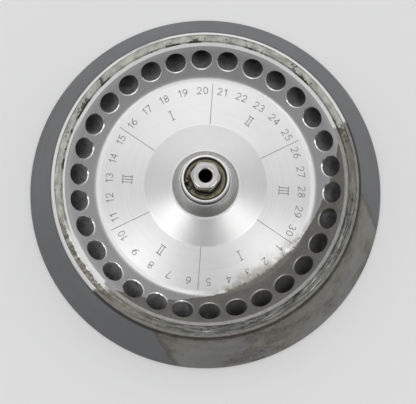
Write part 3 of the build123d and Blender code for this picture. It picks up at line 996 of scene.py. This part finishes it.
def surroundings():
    """The room, a little darker on the near side, and darkest where the viewer leans over the rotor.

    Its strength is a ramp over the direction's y, times a ramp over the cosine of its angle to the viewer.
    """
    n = Nodes("surroundings", "worlds")
    way = n.add("ShaderNodeTexCoord")
    near = n.ramp(n.split(way)[1], -0.6, 0.5, 0.37, 0.66, smooth=False)
    viewer = n.add("ShaderNodeVectorMath", way, (0.04, -0.64, 0.77), operation="DOT_PRODUCT", out=1)
    strength = n.times(near, n.ramp(viewer, 0.82, 0.97, 1.0, 0.15))
    n.add("ShaderNodeOutputWorld", n.add("ShaderNodeBackground", (0.985, 0.99, 1.0, 1), strength))
    return n.block


def area_lamp(name, azimuth, elevation, distance, size, power):
    """A soft lamp on a sphere round the mouths, facing them."""
    data = bpy.data.lights.new(name, "AREA")
    data.shape = "DISK"
    data.size = size
    data.energy = power
    lamp = bpy.data.objects.new(name, data)
    bpy.context.scene.collection.objects.link(lamp)
    a, e = math.radians(azimuth), math.radians(elevation)
    way = Vector((math.cos(a) * math.cos(e), math.sin(a) * math.cos(e), math.sin(e)))
    lamp.location = Vector((0, 0, 0.03)) + way * distance
    lamp.rotation_mode = "QUATERNION"
    lamp.rotation_quaternion = way.to_track_quat("Z", "Y")
    return lamp


def place_camera(tilt=7.47, azimuth=4.2, distance=0.400, focal=738.0, aim=(205.5, 183.05)):
    """A camera above the rotor, tilted towards one side, with the mouth circle's centre at a given pixel.

    The mouth centre's ray in camera axes is ((u - 208)/f, (202 - v)/f, -1); the camera axes are the ones that
    look straight at that centre, turned by the least turn that takes (0, 0, -1) to the ray.
    """
    scene = bpy.context.scene
    width, height = 416, 404
    t, a = math.radians(tilt), math.radians(azimuth)
    right = Vector((math.cos(a), math.sin(a), 0))
    back = Vector((math.sin(a) * math.sin(t), -math.cos(a) * math.sin(t), math.cos(t)))
    up = back.cross(right)
    ray = Vector(((aim[0] - width / 2) / focal, (height / 2 - aim[1]) / focal, -1)).normalized()
    turn = Vector((0, 0, -1)).rotation_difference(ray).to_matrix()
    axes = Matrix((right, up, back))
    world_to_camera = turn @ axes
    data = bpy.data.cameras.new("camera")
    data.sensor_width = 36.0
    data.lens = 36.0 * focal / width
    data.clip_start, data.clip_end = 0.01, 20
    camera = bpy.data.objects.new("camera", data)
    scene.collection.objects.link(camera)
    place = Vector((0, 0, scene.rotor_sizes.mouth_height)) + back * distance
    camera.matrix_world = Matrix.Translation(place) @ world_to_camera.transposed().to_4x4()
    scene.camera = camera


class ROTOR_OT_stage(bpy.types.Operator):
    """Sets the pale floor, the soft lamps, the surroundings and the camera"""
    bl_idname = "rotor.stage"
    bl_label = "Stage, lamps and camera"

    def execute(self, context):
        c = settings()[1]
        scene = context.scene
        scene.view_settings.view_transform = "Standard"
        n = Nodes("floor_pale")
        at = n.add("ShaderNodeTexCoord", out=3)
        cloud = n.noise(at, 3.0, 2.0, 0.5)
        colour = n.mix(cloud, scaled(c.floor, 0.99), scaled(c.floor, 1.01))
        material = n.shade(colour, 0.85, 0.0, specular=0.1)
        shader = n.tree.nodes["Principled BSDF"]
        n.put(shader.inputs["Emission Color"], colour)
        seen = n.math("MAXIMUM", n.add("ShaderNodeLightPath", out=0), n.add("ShaderNodeLightPath", out=3))
        away = n.add("ShaderNodeVectorMath", at, operation="LENGTH", out=1)
        n.put(shader.inputs["Emission Strength"],
              n.times(n.times(seen, n.ramp(away, 0.08, 0.10)), 0.22))
        half = 3.0
        corners = [(-half, -half, 0), (half, -half, 0), (half, half, 0), (-half, half, 0)]
        mesh = bpy.data.meshes.new("floor")
        mesh.from_pydata(corners, [], [(0, 1, 2, 3)])
        mesh.materials.append(material)
        floor = bpy.data.objects.new("floor", mesh)
        scene.collection.objects.link(floor)

        scene.world = surroundings()
        for name, azimuth, elevation, distance, size, power in (
                ("lamp_back_right", 72, 66, 1.4, 0.8, 0.85),
                ("lamp_back_left", 120, 66, 1.4, 0.8, 0.85),
                ("lamp_left", 217, 69, 1.4, 0.5, 2.1),
                ("lamp_right", 331, 69, 1.4, 0.5, 1.9)):
            area_lamp(name, azimuth, elevation, distance, size, power)
        place_camera()
        return {"FINISHED"}


class ROTOR_PT_panel(bpy.types.Panel):
    """Sizes, colours and steps of the rotor"""
    bl_idname = "ROTOR_PT_panel"
    bl_label = "Fixed angle rotor"
    bl_space_type = "VIEW_3D"
    bl_region_type = "UI"
    bl_category = "Rotor"

    def draw(self, context):
        layout = self.layout
        for group in (context.scene.rotor_sizes, context.scene.rotor_colours):
            box = layout.box()
            for key in group.bl_rna.properties.keys():
                if key not in ("rna_type", "name"):
                    box.prop(group, key)
        for step in STEPS:
            layout.operator(step.bl_idname)


STEPS = (ROTOR_OT_body, ROTOR_OT_engraving, ROTOR_OT_hub, ROTOR_OT_nut, ROTOR_OT_stage)
CLASSES = (RotorSizes, RotorColours, *STEPS, ROTOR_PT_panel)


def register():
    for cls in CLASSES:
        bpy.utils.register_class(cls)
    bpy.types.Scene.rotor_sizes = PointerProperty(type=RotorSizes)
    bpy.types.Scene.rotor_colours = PointerProperty(type=RotorColours)


def unregister():
    del bpy.types.Scene.rotor_colours
    del bpy.types.Scene.rotor_sizes
    for cls in reversed(CLASSES):
        bpy.utils.unregister_class(cls)


def main():
    register()
    for step in STEPS:
        group, name = step.bl_idname.split(".")
        getattr(getattr(bpy.ops, group), name)()


if __name__ == "__main__":
    main()
